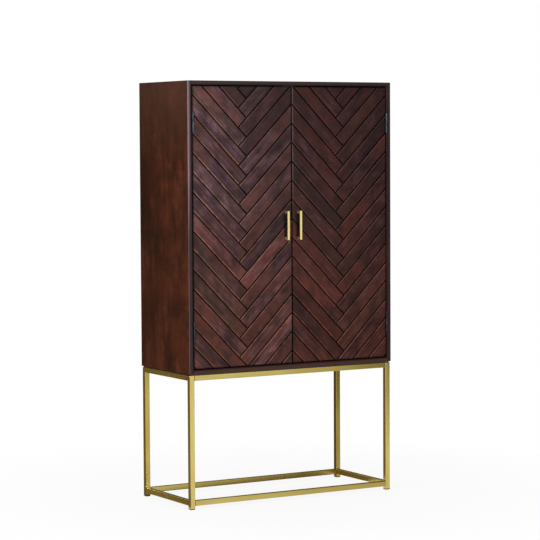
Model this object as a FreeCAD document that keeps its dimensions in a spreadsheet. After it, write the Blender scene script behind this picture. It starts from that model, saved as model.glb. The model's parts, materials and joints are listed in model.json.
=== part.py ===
import FreeCAD, Part
import os
import re
import Sketcher

# Highboard: a two-door wooden case on a square tube stand.
# Millimetres. X to the right, Y to the back, Z up.
# The origin is on the floor under the middle of the overall box.

doc = FreeCAD.newDocument("highboard")
dims = doc.addObject("Spreadsheet::Sheet", "dims")

driving_sizes = [
    # case
    ("case_width", 900, "outside width of the case"),
    ("case_depth", 390, "outside depth of the case"),
    ("case_height", 1092, "outside height of the case"),
    ("side_thick", 18, "side boards"),
    ("top_thick", 16, "top board"),
    ("bottom_thick", 16, "bottom board"),
    ("back_thick", 6, "back panel, and the depth of its rebate"),
    ("back_lap", 9, "how far the back panel reaches into the boards"),
    ("back_fit", 0.3, "room round the back panel in its rebate"),
    # shelves
    ("shelf_thick", 16, "shelves"),
    ("shelf_fit", 0.5, "room between shelf and case at each side and at the back"),
    ("shelf_setback", 12, "from the back of the doors to the shelf"),
    ("peg_radius", 2.5, "round end of a shelf support"),
    ("peg_depth", 9, "round end in the side board"),
    ("peg_margin", 40, "from the shelf's front or back edge to its supports"),
    ("peg_pitch", 32, "from one row of peg holes to the next"),
    ("lug_length", 10, "flat end of a shelf support, out of the side board"),
    ("lug_width", 12, "flat end, along the shelf's depth"),
    ("lug_thick", 7, "flat end, top to bottom"),
    # dowels
    ("dowel_radius", 4, "corner dowels"),
    ("dowel_length", 30, "corner dowels"),
    ("dowel_in_side", 11, "part of a dowel in the side board"),
    ("dowel_margin", 60, "from the case's front or back to the outer dowels"),
    # doors
    ("door_gap", 3, "above and below the doors"),
    ("seam_gap", 4, "between the doors"),
    ("door_recess", 1.5, "from the case's front to the faces of the slats"),
    ("panel_thick", 13, "backing panel of a door"),
    ("slat_thick", 8, "herringbone slats"),
    ("slat_width", 50, "herringbone slats at the back"),
    ("slat_gap", 1, "between slats at the back"),
    ("slat_bevel", 2.5, "how much a slat's edge leans in at the front"),
    ("pattern_drop", 11, "from a door's top to the first outer corner of the zigzag"),
    ("offcut_leg", 20, "a corner triangle with shorter legs than this is left bare"),
    # handles
    ("handle_length", 110, "handle, end to end"),
    ("handle_width", 9, "bar and posts of a handle, across"),
    ("handle_bar", 5, "bar of a handle, front to back"),
    ("handle_post", 11, "post of a handle, up and down"),
    ("handle_reach", 22, "from the slats to the front of the handle"),
    ("handle_from_seam", 27.5, "from the middle of the case to the handle"),
    ("handle_screw_radius", 2, "handle screws"),
    ("handle_screw_bite", 12, "handle screw inside the handle"),
    ("handle_head_radius", 4, "head of a handle screw"),
    ("handle_head_height", 2.4, "head of a handle screw"),
    # hinges
    ("hinge_length", 75, "length of a hinge"),
    ("hinge_inset", 139, "from a door's end to the middle of its hinge"),
    ("leaf_thick", 1.3, "hinge leaves"),
    ("leaf_clear", 0.4, "between the two leaves of a closed hinge"),
    ("leaf_margin", 6, "leaf behind its line of screws"),
    ("pin_radius", 1.8, "hinge pin"),
    ("pin_clear", 0.05, "between pin and knuckles"),
    ("pin_head", 1.2, "height of the pin's heads"),
    ("knuckle_wall", 1.75, "wall of the knuckles"),
    ("knuckle_clear", 0.35, "between knuckles and the case's front"),
    ("knuckle_overlap", 0.3, "how far the knuckles reach past the side board's inner face"),
    ("knuckle_play", 0.2, "between one knuckle and the next"),
    ("hinge_screw_pitch", 26, "between the screws of a leaf"),
    # small wood screws
    ("screw_radius", 1.5, "shank of the wood screws"),
    ("screw_head_radius", 2.8, "countersunk head of the wood screws"),
    ("screw_fit", 0.05, "room round a screw, dowel or peg in its hole"),
    ("side_screw_length", 12, "hinge screw in the side board"),
    ("edge_screw_length", 20, "hinge screw in the door's edge"),
    ("back_screw_length", 22, "screws of the back panel"),
    ("back_screw_sink", 2, "countersunk heads of the back screws"),
    ("back_screw_margin", 70, "from a corner of the back panel to the next screw"),
    # catch
    ("catch_length", 60, "magnetic catch"),
    ("catch_depth", 15, "magnetic catch"),
    ("catch_height", 14, "magnetic catch"),
    ("catch_clear", 0.3, "between catch and strike plates"),
    ("catch_screw_bite", 9, "catch screw in the top board"),
    ("catch_screw_pitch", 28, "between the two catch screws"),
    ("strike_thick", 1.3, "strike plates"),
    ("strike_width", 22, "strike plates"),
    ("strike_height", 11, "strike plates"),
    ("strike_drop", 1.5, "from the door's top to the strike plate"),
    ("strike_from_seam", 18, "from the middle of the case to a strike plate's middle"),
    ("strike_screw_length", 9, "screw of a strike plate"),
    # stand
    ("leg_length", 500, "legs, without glides"),
    ("frame_inset", 3, "from the case's outside to the stand's"),
    ("tube_size", 20, "square tube"),
    ("tube_wall", 1.5, "square tube"),
    ("tube_radius", 2, "rounded edges of the tube"),
    ("lower_rail_lift", 10, "from a leg's end to the lower rails"),
    ("glide_height", 4, "glide under a leg"),
    ("glide_taper", 2, "how much a glide's foot leans in"),
    ("glide_plug", 14, "glide inside a leg"),
    ("glide_fit", 0.15, "room round the glide in its leg"),
    ("pad_height", 4, "spacer strips between stand and case"),
    ("pad_width", 14, "spacer strips between stand and case"),
    ("pad_end", 3, "from the stand's outside to the ends of the long strips"),
    ("bolt_inset", 60, "from the stand's corner to the first screw"),
    ("bolt_radius", 3, "screws through the upper rails"),
    ("bolt_fit", 0.3, "room round those screws in rail and strip"),
    ("bolt_bite", 11, "those screws in the bottom board"),
    ("bolt_head_radius", 5.5, "head inside the rail"),
    ("bolt_head_height", 3, "head inside the rail"),
    ("bolt_access", 1, "room round a head in the rail's lower wall"),
    ("hole_spare", 0.5, "blind holes are this much deeper than what they hold"),
]
for row, (alias, millimetres, note) in enumerate(driving_sizes, start=1):
    dims.set(f"A{row}", alias)
    dims.set(f"B{row}", str(millimetres))
    dims.set(f"C{row}", note)
    dims.setAlias(f"B{row}", alias)
doc.recompute()
aliases = {alias for alias, millimetres, note in driving_sizes}

knuckles = 5

# Places and sizes that follow from the driving ones
derived = {
    "mid_y": "(handle_reach - door_recess) / 2",
    "front_y": "mid_y - case_depth / 2",
    "back_y": "mid_y + case_depth / 2",
    "case_z": "glide_height + leg_length + pad_height",
    "top_z": "case_z + case_height",
    "floor_z": "case_z + bottom_thick",
    "ceiling_z": "top_z - top_thick",
    "outer_x": "case_width / 2",
    "inner_x": "outer_x - side_thick",
    "ledge_y": "back_y - back_thick",
    "side_gap": "2 * leaf_thick + leaf_clear",
    "door_edge_x": "inner_x - side_gap",
    "door_seam_x": "seam_gap / 2",
    "door_mid_x": "(door_edge_x + door_seam_x) / 2",
    "door_width": "door_edge_x - door_seam_x",
    "door_z": "floor_z + door_gap",
    "door_top": "ceiling_z - door_gap",
    "door_height": "door_top - door_z",
    "slat_face_y": "front_y + door_recess",
    "panel_front_y": "slat_face_y + slat_thick",
    "panel_mid_y": "panel_front_y + panel_thick / 2",
    "panel_back_y": "panel_front_y + panel_thick",
    "slat_step": "(slat_width + slat_gap) * sqrt(2)",
    "slat_run": "(door_width / 2 + slat_step) * sqrt(2)",
    "zigzag_outer_x": "door_mid_x + slat_step / 4",
    "zigzag_inner_x": "door_mid_x - slat_step / 4",
    "compartment": "(ceiling_z - floor_z - 2 * shelf_thick) / 3",
    "shelf_front_y": "panel_back_y + shelf_setback",
    "shelf_back_y": "ledge_y - shelf_fit",
    "peg_front_y": "shelf_front_y + peg_margin",
    "peg_back_y": "shelf_back_y - peg_margin",
    "handle_z": "(door_z + door_top) / 2 - handle_length / 2",
    "handle_front_y": "slat_face_y - handle_reach",
    "knuckle_radius": "pin_radius + pin_clear + knuckle_wall",
    "axis_x": "inner_x - knuckle_radius + knuckle_overlap",
    "axis_y": "front_y - knuckle_radius - knuckle_clear",
    "knuckle_pitch": f"hinge_length / {knuckles}",
    "leaf_back_y": "panel_mid_y + leaf_margin",
    "catch_front_y": "panel_back_y + strike_thick + catch_clear",
    "frame_x": "outer_x - frame_inset",
    "frame_front_y": "front_y + frame_inset",
    "frame_back_y": "back_y - frame_inset",
    "stand_z": "glide_height + leg_length",
    "rail_z": "stand_z - tube_size / 2",
    "lower_rail_z": "glide_height + lower_rail_lift + tube_size / 2",
    "leg_x": "frame_x - tube_size / 2",
    "leg_front_y": "frame_front_y + tube_size / 2",
    "leg_back_y": "frame_back_y - tube_size / 2",
    "bolt_hole_radius": "bolt_radius + bolt_fit",
}

sides = ("left", "right")
dowel_places = ("front_y + dowel_margin", "mid_y", "back_y - dowel_margin")
turns = {
    "+x": FreeCAD.Rotation(FreeCAD.Vector(0, 1, 0), 90),
    "-x": FreeCAD.Rotation(FreeCAD.Vector(0, 1, 0), -90),
    "+y": FreeCAD.Rotation(FreeCAD.Vector(1, 0, 0), -90),
    "-y": FreeCAD.Rotation(FreeCAD.Vector(1, 0, 0), 90),
    "+z": FreeCAD.Rotation(),
    "-z": FreeCAD.Rotation(FreeCAD.Vector(1, 0, 0), 180),
}
outward = {"left": "-x", "right": "+x"}
inward = {"left": "+x", "right": "-x"}
nodes = []


def formula(text):
    """Turn a formula in plain names into one on the sheet's cells."""

    def swap(match):
        word = match.group(0)
        if word in derived:
            return "(" + formula(derived[word]) + ")"
        return "dims." + word if word in aliases else word

    return re.sub(r"[a-z_]+", swap, str(text))


def size(alias):
    return float(getattr(dims, alias))


def bind(thing, **formulas):
    for name, text in formulas.items():
        thing.setExpression(name, formula(text))
    return thing


def put(thing, at, rotation=FreeCAD.Rotation()):
    thing.Placement = FreeCAD.Placement(FreeCAD.Vector(), rotation)
    for axis, text in zip("xyz", at):
        thing.setExpression("Placement.Base." + axis, formula(text))
    return thing


def node(thing, label):
    """Name a finished sub-part; its label is its file's name."""
    thing.Label = label
    nodes.append(thing)
    return thing


def on_side(side, x):
    """Mirror a place, or a low and high place, to the left half."""
    if isinstance(x, str):
        return x if side == "right" else f"-({x})"
    return x if side == "right" else (f"-({x[1]})", f"-({x[0]})")


def block(name, x, y, z):
    """Box between a low and a high place on each axis."""
    box = doc.addObject("Part::Box", name)
    for length, (low, high) in zip(("Length", "Width", "Height"), (x, y, z)):
        bind(box, **{length: f"({high}) - ({low})"})
    return put(box, (x[0], y[0], z[0]))


def rod(name, radius, length, at, toward):
    cylinder = doc.addObject("Part::Cylinder", name)
    bind(cylinder, Radius=radius, Height=length)
    return put(cylinder, at, turns[toward])


def cone(name, wide, narrow, length, at, toward):
    taper = doc.addObject("Part::Cone", name)
    bind(taper, Radius1=wide, Radius2=narrow, Height=length)
    return put(taper, at, turns[toward])


def further(at, toward, distance):
    """A place that lies a distance along an axis from another."""
    moved = list(at)
    axis = "xyz".index(toward[1])
    moved[axis] = f"({at[axis]}) {toward[0]} ({distance})"
    return tuple(moved)


def against(toward):
    return ("-" if toward[0] == "+" else "+") + toward[1]


def group(name, things):
    together = doc.addObject("Part::Compound", name)
    together.Links = things
    return together


def fuse(name, things):
    joined = doc.addObject("Part::MultiFuse", name)
    joined.Shapes = things
    joined.Refine = True
    return joined


def cut(name, base, *tools):
    """Take tools out of a base, one after another; a list is one set of separate holes."""
    for number, tool in enumerate(tools):
        trimmed = doc.addObject("Part::Cut", f"{name}_cut_{number}")
        trimmed.Base = base
        trimmed.Tool = group(f"{name}_holes_{number}", tool) if isinstance(tool, list) else tool
        base = trimmed
    return base


def flat_screw(name, at, toward, length, sink):
    """Countersunk screw: its head's face is at a place, and it points along an axis."""
    head = cone(name + "_head", "screw_head_radius", "screw_radius", sink, at, toward)
    start = further(at, toward, sink)
    shank = rod(name + "_shank", "screw_radius", f"({length}) - ({sink})", start, toward)
    return fuse(name, [head, shank])


def flat_screw_seat(name, at, toward, sink):
    """Countersunk hole through a plate, for a head that lies flush."""
    room = "screw_head_radius + screw_fit"
    return cone(name, room, "screw_radius + screw_fit", sink, at, toward)


def flat_screw_hole(name, at, toward, length):
    depth = f"({length}) + hole_spare"
    return rod(name, "screw_radius + screw_fit", depth, at, toward)


def pan_screw(name, at, toward, radius, length, head_radius, head_height):
    """Screw whose head sits on a face at a place, and whose shank points along an axis."""
    head = rod(name + "_head", head_radius, head_height, at, against(toward))
    shank = rod(name + "_shank", radius, length, at, toward)
    return fuse(name, [head, shank])


# Where the screws, dowels and pegs go

def hinge_levels():
    return {"upper": "door_top - hinge_inset", "lower": "door_z + hinge_inset"}


def hinge_screw_places(side, x):
    rows = (-1, 0, 1)
    for middle in hinge_levels().values():
        for row in rows:
            yield on_side(side, x), "panel_mid_y", f"({middle}) + ({row}) * hinge_screw_pitch"


def back_screw_places():
    column_x = "inner_x + back_lap / 2"
    low_z = "floor_z + back_screw_margin"
    high_z = "ceiling_z - back_screw_margin"
    screw_count = 4
    for side in sides:
        for step in range(screw_count):
            z = f"{low_z} + ({high_z} - ({low_z})) * {step} / {screw_count - 1}"
            yield side, (on_side(side, column_x), "back_y", z)
    for edge, z in (("top", "ceiling_z + back_lap / 2"), ("bottom", "floor_z - back_lap / 2")):
        for step in range(screw_count):
            x = f"(inner_x - back_screw_margin) * (2 * {step} / {screw_count - 1} - 1)"
            yield edge, (x, "back_y", z)


def back_screw_holes(edge):
    holes = []
    for number, (board, at) in enumerate(back_screw_places()):
        if board == edge:
            ledge = further(at, "-y", "back_thick")
            length = "back_screw_length - back_thick"
            holes.append(flat_screw_hole(f"{edge}_back_hole_{number}", ledge, "-y", length))
    return holes


def dowel_holes(name, side, z, toward, depth):
    return [
        rod(f"{name}_{number}", "dowel_radius + screw_fit", f"{depth} + hole_spare",
            (on_side(side, "inner_x"), y, z), toward)
        for number, y in enumerate(dowel_places)
    ]


dowel_levels = {"top": "top_z - top_thick / 2", "bottom": "case_z + bottom_thick / 2"}
shelf_levels = {
    "lower": "floor_z + compartment",
    "upper": "floor_z + 2 * compartment + shelf_thick",
}


# Case boards

back_recess = block(
    "back_recess",
    ("-(inner_x + back_lap)", "inner_x + back_lap"),
    ("ledge_y", "back_y"),
    ("floor_z - back_lap", "ceiling_z + back_lap"),
)

for side in sides:
    board = block(
        f"side_{side}_blank",
        on_side(side, ("inner_x", "outer_x")),
        ("front_y", "back_y"),
        ("case_z", "top_z"),
    )
    holes = []
    for level, z in dowel_levels.items():
        holes += dowel_holes(f"side_{side}_{level}_dowel", side, z, outward[side], "dowel_in_side")
    for level, z in shelf_levels.items():
        for row in (-1, 0, 1):
            for y in ("peg_front_y", "peg_back_y"):
                at = (on_side(side, "inner_x"), y, f"{z} - lug_thick / 2 + ({row}) * peg_pitch")
                holes.append(rod(f"peg_hole_{side}_{level}", "peg_radius + screw_fit",
                                 "peg_depth + hole_spare", at, outward[side]))
    for at in hinge_screw_places(side, "inner_x"):
        holes.append(flat_screw_hole(f"side_{side}_hinge_hole", at, outward[side], "side_screw_length"))
    holes += back_screw_holes(side)
    node(cut(f"side_{side}", board, back_recess, holes), f"case_side_{side}")

catch_screw_places = [
    (f"({way}) * catch_screw_pitch / 2", "catch_front_y + catch_depth / 2", "ceiling_z - catch_height")
    for way in (-1, 1)
]
bolt_places = [
    (f"({column}) * (frame_x - bolt_inset)", y, "stand_z")
    for column in (-1, 0, 1)
    for y in ("leg_front_y", "leg_back_y")
]

for edge, low, high in (("top", "ceiling_z", "top_z"), ("bottom", "case_z", "floor_z")):
    board = block(f"{edge}_blank", ("-inner_x", "inner_x"), ("front_y", "back_y"), (low, high))
    holes = []
    for side in sides:
        depth = "dowel_length - dowel_in_side"
        holes += dowel_holes(f"{edge}_{side}_dowel", side, dowel_levels[edge], inward[side], depth)
    if edge == "top":
        for x, y, z in catch_screw_places:
            holes.append(flat_screw_hole("catch_hole", (x, y, "ceiling_z"), "+z", "catch_screw_bite"))
    else:
        for x, y, z in bolt_places:
            holes.append(rod("bolt_hole", "bolt_radius + screw_fit", "bolt_bite + hole_spare",
                             (x, y, "case_z"), "+z"))
    holes += back_screw_holes(edge)
    node(cut(edge, board, back_recess, holes), f"case_{edge}")

back = block(
    "back_blank",
    ("-(inner_x + back_lap - back_fit)", "inner_x + back_lap - back_fit"),
    ("ledge_y", "back_y"),
    ("floor_z - back_lap + back_fit", "ceiling_z + back_lap - back_fit"),
)
seats = []
through = []
screws = []
for number, (board, at) in enumerate(back_screw_places()):
    seats.append(flat_screw_seat(f"back_seat_{number}", at, "-y", "back_screw_sink"))
    start = further(at, "-y", "back_screw_sink")
    through.append(rod(f"back_through_{number}", "screw_radius + screw_fit",
                       "back_thick - back_screw_sink", start, "-y"))
    screws.append(flat_screw(f"back_screw_{number}", at, "-y", "back_screw_length", "back_screw_sink"))
node(cut("back", back, seats, through), "back_panel")
node(group("back_screws", screws), "back_panel_screws")

dowels = []
for side in sides:
    for z in dowel_levels.values():
        for y in dowel_places:
            at = further((on_side(side, "inner_x"), y, z), outward[side], "dowel_in_side")
            dowels.append(rod("dowel", "dowel_radius", "dowel_length", at, inward[side]))
node(group("dowels", dowels), "case_dowels")

# Shelves and their supports

supports = []
for level, z in shelf_levels.items():
    shelf = block(
        f"shelf_{level}_board",
        ("-(inner_x - shelf_fit)", "inner_x - shelf_fit"),
        ("shelf_front_y", "shelf_back_y"),
        (z, f"{z} + shelf_thick"),
    )
    node(shelf, f"shelf_{level}")
    for side in sides:
        for y in ("peg_front_y", "peg_back_y"):
            lug = block(
                f"lug_{side}_{level}",
                on_side(side, ("inner_x - lug_length", "inner_x")),
                (f"{y} - lug_width / 2", f"{y} + lug_width / 2"),
                (f"{z} - lug_thick", z),
            )
            at = (on_side(side, "inner_x"), y, f"{z} - lug_thick / 2")
            peg = rod(f"peg_{side}_{level}", "peg_radius", "peg_depth", at, outward[side])
            supports.append(fuse(f"support_{side}_{level}", [lug, peg]))
node(group("supports", supports), "shelf_supports")

# Magnetic catch under the top board

catch = block(
    "catch_blank",
    ("-catch_length / 2", "catch_length / 2"),
    ("catch_front_y", "catch_front_y + catch_depth"),
    ("ceiling_z - catch_height", "ceiling_z"),
)
catch_sink = "back_screw_sink"
seats = []
through = []
screws = []
for at in catch_screw_places:
    seats.append(flat_screw_seat("catch_seat", at, "+z", catch_sink))
    start = further(at, "+z", catch_sink)
    through.append(rod("catch_through", "screw_radius + screw_fit",
                       f"catch_height - {catch_sink}", start, "+z"))
    screws.append(flat_screw("catch_screw", at, "+z", "catch_height + catch_screw_bite", catch_sink))
node(cut("catch", catch, seats, through), "magnet_catch")
node(group("catch_screws_group", screws), "catch_screws")


# Doors

def slat(name, side, field, row):
    """One slat, still running past the door's edges: a bar with edges that lean in to the front."""
    wedge = doc.addObject("Part::Wedge", name)
    back_low = "slat_gap / 2"
    back_high = "slat_gap / 2 + slat_width"
    bind(wedge, Ymin="0", Ymax="slat_thick")
    bind(wedge, X2min=back_low, X2max="slat_run", Z2min=back_low, Z2max=back_high)
    bind(wedge, Xmin=f"{back_low} + slat_bevel", Xmax="slat_run")
    bind(wedge, Zmin=f"{back_low} + slat_bevel", Zmax=f"{back_high} - slat_bevel")
    corner_z = f"door_top - pattern_drop - ({row}) * slat_step"
    if side == "right":
        corner = ("zigzag_outer_x", "slat_face_y", corner_z)
    else:
        corner = ("-(zigzag_inner_x)", "slat_face_y", f"{corner_z} - slat_step / 2")
    leans_right = (side == "right") == (field == "outer")
    angle = -45 if leans_right else -135
    return put(wedge, corner, FreeCAD.Rotation(FreeCAD.Vector(0, 1, 0), angle))


def slat_field(side, field, window, holes):
    """The slats of half a door, cut to the door's outline."""
    doc.recompute()
    step = (size("slat_width") + size("slat_gap")) * 2 ** 0.5
    rows = int((window.Height.Value + window.Length.Value) / step) + 2
    least = size("offcut_leg") ** 2 / 2 * size("slat_thick")
    bars = [slat(f"slat_{side}_{field}_{row}", side, field, row) for row in range(-1, rows)]
    doc.recompute()
    kept = []
    for bar in bars:
        if bar.Shape.common(window.Shape).Volume > least:
            kept.append(bar)
        else:
            doc.removeObject(bar.Name)
    trimmed = doc.addObject("Part::Common", f"slats_{side}_{field}_trimmed")
    trimmed.Base = group(f"slats_{side}_{field}_bars", kept)
    trimmed.Tool = window
    return cut(f"slats_{side}_{field}", trimmed, holes) if holes else trimmed


handle_post_levels = (
    "handle_z + handle_post / 2",
    "handle_z + handle_length - handle_post / 2",
)

for side in sides:
    door_x = on_side(side, ("door_seam_x", "door_edge_x"))
    door_z = ("door_z", "door_top")
    handle_x = on_side(side, "handle_from_seam")
    shaft_hole = "handle_screw_radius + screw_fit"

    panel = block(f"panel_{side}_blank", door_x, ("panel_front_y", "panel_back_y"), door_z)
    holes = [
        rod(f"panel_{side}_handle_hole", shaft_hole, "panel_thick", (handle_x, "panel_front_y", z), "+y")
        for z in handle_post_levels
    ]
    for at in hinge_screw_places(side, "door_edge_x"):
        holes.append(flat_screw_hole(f"panel_{side}_hinge_hole", at, inward[side], "edge_screw_length"))
    strike_x = on_side(side, "strike_from_seam")
    strike_z = "door_top - strike_drop - strike_height / 2"
    holes.append(flat_screw_hole(f"panel_{side}_strike_hole", (strike_x, "panel_back_y", strike_z),
                                 "-y", "strike_screw_length - strike_thick"))
    node(cut(f"panel_{side}", panel, holes), f"door_panel_{side}")

    for field in ("outer", "inner"):
        window = block(f"window_{side}_{field}", door_x, ("slat_face_y", "panel_front_y"), door_z)
        holes = []
        if field == "inner":
            for z in handle_post_levels:
                at = (handle_x, "slat_face_y", z)
                holes.append(rod(f"slats_{side}_handle_hole", shaft_hole, "slat_thick", at, "+y"))
        node(slat_field(side, field, window, holes), f"slats_{side}_{field}")

    # Bar handle with its screws
    bar_x = on_side(side, ("handle_from_seam - handle_width / 2", "handle_from_seam + handle_width / 2"))
    handle_top = "handle_z + handle_length"
    bar = block(f"handle_{side}_bar", bar_x, ("handle_front_y", "handle_front_y + handle_bar"),
                ("handle_z", handle_top))
    posts = [
        block(f"handle_{side}_post", bar_x, ("handle_front_y", "slat_face_y"), (low, high))
        for low, high in (
            ("handle_z", "handle_z + handle_post"),
            (f"{handle_top} - handle_post", handle_top),
        )
    ]
    threads = []
    screws = []
    for z in handle_post_levels:
        threads.append(rod(f"handle_{side}_thread", shaft_hole, "handle_screw_bite + hole_spare",
                           (handle_x, "slat_face_y", z), "-y"))
        screws.append(pan_screw(f"handle_{side}_screw", (handle_x, "panel_back_y", z), "-y",
                                "handle_screw_radius", "panel_thick + slat_thick + handle_screw_bite",
                                "handle_head_radius", "handle_head_height"))
    handle = fuse(f"handle_{side}_blank", [bar] + posts)
    node(cut(f"handle_{side}_body", handle, threads), f"handle_{side}")
    node(group(f"handle_{side}_screws", screws), f"handle_screws_{side}")

    # Strike plate for the catch
    plate = block(
        f"strike_{side}_blank",
        on_side(side, ("strike_from_seam - strike_width / 2", "strike_from_seam + strike_width / 2")),
        ("panel_back_y", "panel_back_y + strike_thick"),
        ("door_top - strike_drop - strike_height", "door_top - strike_drop"),
    )
    at = (strike_x, "panel_back_y + strike_thick", strike_z)
    seat = flat_screw_seat(f"strike_{side}_seat", at, "-y", "strike_thick")
    node(cut(f"strike_{side}", plate, seat), f"strike_plate_{side}")
    node(flat_screw(f"strike_{side}_screw", at, "-y", "strike_screw_length", "strike_thick"),
         f"strike_screw_{side}")


# Butt hinges

def hinge_leaf(name, side, middle, plate_x, own_knuckles, screw_x, screw_toward):
    """Leaf of a hinge: a plate, its tongues and rolled knuckles, the bore and the screw seats."""
    low_z = f"({middle}) - hinge_length / 2"
    high_z = f"({middle}) + hinge_length / 2"
    plate_x = on_side(side, plate_x)
    pieces = [block(name + "_plate", plate_x, ("front_y", "leaf_back_y"), (low_z, high_z))]
    axis = (on_side(side, "axis_x"), "axis_y")
    for number in own_knuckles:
        start = f"{low_z} + {number} * knuckle_pitch + knuckle_play / 2"
        height = "knuckle_pitch - knuckle_play"
        pieces.append(rod(name + "_knuckle", "knuckle_radius", height, axis + (start,), "+z"))
        pieces.append(block(name + "_tongue", plate_x, ("axis_y", "front_y"),
                            (start, f"{start} + {height}")))
    bore = rod(name + "_bore", "pin_radius + pin_clear", "hinge_length", axis + (low_z,), "+z")
    seats = []
    for row in (-1, 0, 1):
        at = (on_side(side, screw_x), "panel_mid_y", f"({middle}) + ({row}) * hinge_screw_pitch")
        seats.append(flat_screw_seat(name + "_seat", at, screw_toward, "leaf_thick"))
    return cut(name, fuse(name + "_blank", pieces), bore, seats)


case_leaf_x = ("inner_x - leaf_thick", "inner_x")
door_leaf_x = ("door_edge_x", "door_edge_x + leaf_thick")
case_knuckles = range(0, knuckles, 2)
door_knuckles = range(1, knuckles, 2)
case_screws = []
for side in sides:
    door_screws = []
    for level, middle in hinge_levels().items():
        name = f"{side}_{level}"
        case_leaf = hinge_leaf(f"case_leaf_{name}_body", side, middle, case_leaf_x, case_knuckles,
                               case_leaf_x[0], outward[side])
        node(case_leaf, f"hinge_case_leaf_{name}")
        door_leaf = hinge_leaf(f"door_leaf_{name}_body", side, middle, door_leaf_x, door_knuckles,
                               door_leaf_x[1], inward[side])
        node(door_leaf, f"hinge_door_leaf_{name}")
        axis = (on_side(side, "axis_x"), "axis_y")
        low_z = f"({middle}) - hinge_length / 2 + knuckle_play / 2"
        high_z = f"({middle}) + hinge_length / 2 - knuckle_play / 2"
        pin = fuse(f"pin_{name}", [
            rod(f"pin_{name}_shaft", "pin_radius", "hinge_length - knuckle_play", axis + (low_z,), "+z"),
            rod(f"pin_{name}_foot", "pin_radius + knuckle_wall / 2", "pin_head", axis + (low_z,), "-z"),
            rod(f"pin_{name}_head", "pin_radius + knuckle_wall / 2", "pin_head", axis + (high_z,), "+z"),
        ])
        node(pin, f"hinge_pin_{name}")
    for at in hinge_screw_places(side, case_leaf_x[0]):
        case_screws.append(flat_screw(f"case_leaf_screw_{side}", at, outward[side],
                                      "side_screw_length + leaf_thick", "leaf_thick"))
    for at in hinge_screw_places(side, door_leaf_x[1]):
        door_screws.append(flat_screw(f"door_leaf_screw_{side}", at, inward[side],
                                      "edge_screw_length + leaf_thick", "leaf_thick"))
    node(group(f"door_leaf_screws_{side}", door_screws), f"hinge_door_screws_{side}")
node(group("case_leaf_screws", case_screws), "hinge_case_screws")


# Stand of square tube

def origin_plane(body, role):
    return next(plane for plane in body.Origin.OriginFeatures if plane.Role == role)


def square_sketch(body, name, side_length):
    """Square about the body's axis, as long on each side as a formula says."""
    sketch = body.newObject("Sketcher::SketchObject", name)
    sketch.AttachmentSupport = [(origin_plane(body, "XY_Plane"), "")]
    sketch.MapMode = "FlatFace"
    reach = size("tube_size") / 2
    corners = [(-reach, -reach), (reach, -reach), (reach, reach), (-reach, reach)]
    for start, end in zip(corners, corners[1:] + corners[:1]):
        ends = [FreeCAD.Vector(x, y, 0) for x, y in (start, end)]
        sketch.addGeometry(Part.LineSegment(*ends), False)
    for line in range(4):
        sketch.addConstraint(Sketcher.Constraint("Coincident", line, 2, (line + 1) % 4, 1))
        kind = "Horizontal" if line % 2 == 0 else "Vertical"
        sketch.addConstraint(Sketcher.Constraint(kind, line))
    sketch.addConstraint(Sketcher.Constraint("Symmetric", 0, 1, 1, 2, -1, 1))
    for line, kind in ((0, "DistanceX"), (1, "DistanceY")):
        index = sketch.addConstraint(Sketcher.Constraint(kind, line, 1, line, 2, 2 * reach))
        sketch.setExpression(f"Constraints[{index}]", formula(side_length))
    return sketch


def tube(name, length, at, toward, end_wall="0"):
    """Square tube from a place along an axis, with rounded edges, open or with a closed far end."""
    body = doc.addObject("PartDesign::Body", name)
    pad = body.newObject("PartDesign::Pad", name + "_pad")
    pad.Profile = square_sketch(body, name + "_outline", "tube_size")
    bind(pad, Length=length)
    doc.recompute()
    rounded = []
    for number, edge in enumerate(pad.Shape.Edges, start=1):
        lowest = min(vertex.Z for vertex in edge.Vertexes)
        highest = max(vertex.Z for vertex in edge.Vertexes)
        closed_rim = end_wall != "0" and lowest > 0
        if highest > lowest or closed_rim:
            rounded.append(f"Edge{number}")
    fillet = body.newObject("PartDesign::Fillet", name + "_edges")
    fillet.Base = (pad, rounded)
    bind(fillet, Radius="tube_radius")
    bore = body.newObject("PartDesign::Pocket", name + "_bore")
    bore.Profile = square_sketch(body, name + "_inside", "tube_size - 2 * tube_wall")
    bore.Reversed = True
    bind(bore, Length=f"({length}) - ({end_wall})")
    body.Tip = bore
    return put(body, at, turns[toward])


leg_places = {
    "front_left": ("-(leg_x)", "leg_front_y"),
    "front_right": ("leg_x", "leg_front_y"),
    "back_left": ("-(leg_x)", "leg_back_y"),
    "back_right": ("leg_x", "leg_back_y"),
}
for corner, (x, y) in leg_places.items():
    leg = tube(f"leg_{corner}_tube", "leg_length", (x, y, "glide_height"), "+z", "tube_wall")
    node(leg, f"leg_{corner}")
    plug_half = "(tube_size / 2 - tube_wall - glide_fit)"
    plug = block(
        f"glide_{corner}_plug",
        (f"{x} - {plug_half}", f"{x} + {plug_half}"),
        (f"{y} - {plug_half}", f"{y} + {plug_half}"),
        ("glide_height", "glide_height + glide_plug"),
    )
    foot = doc.addObject("Part::Wedge", f"glide_{corner}_foot")
    foot_half = "tube_size / 2"
    tip_half = "(tube_size / 2 - glide_taper)"
    bind(foot, Ymin="0", Ymax="glide_height")
    bind(foot, Xmin=f"-{tip_half}", Xmax=tip_half, Zmin=f"-{tip_half}", Zmax=tip_half)
    bind(foot, X2min=f"-{foot_half}", X2max=foot_half, Z2min=f"-{foot_half}", Z2max=foot_half)
    put(foot, (x, y, "0"), turns["-y"])
    node(fuse(f"glide_{corner}_body", [plug, foot]), f"glide_{corner}")

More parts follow.
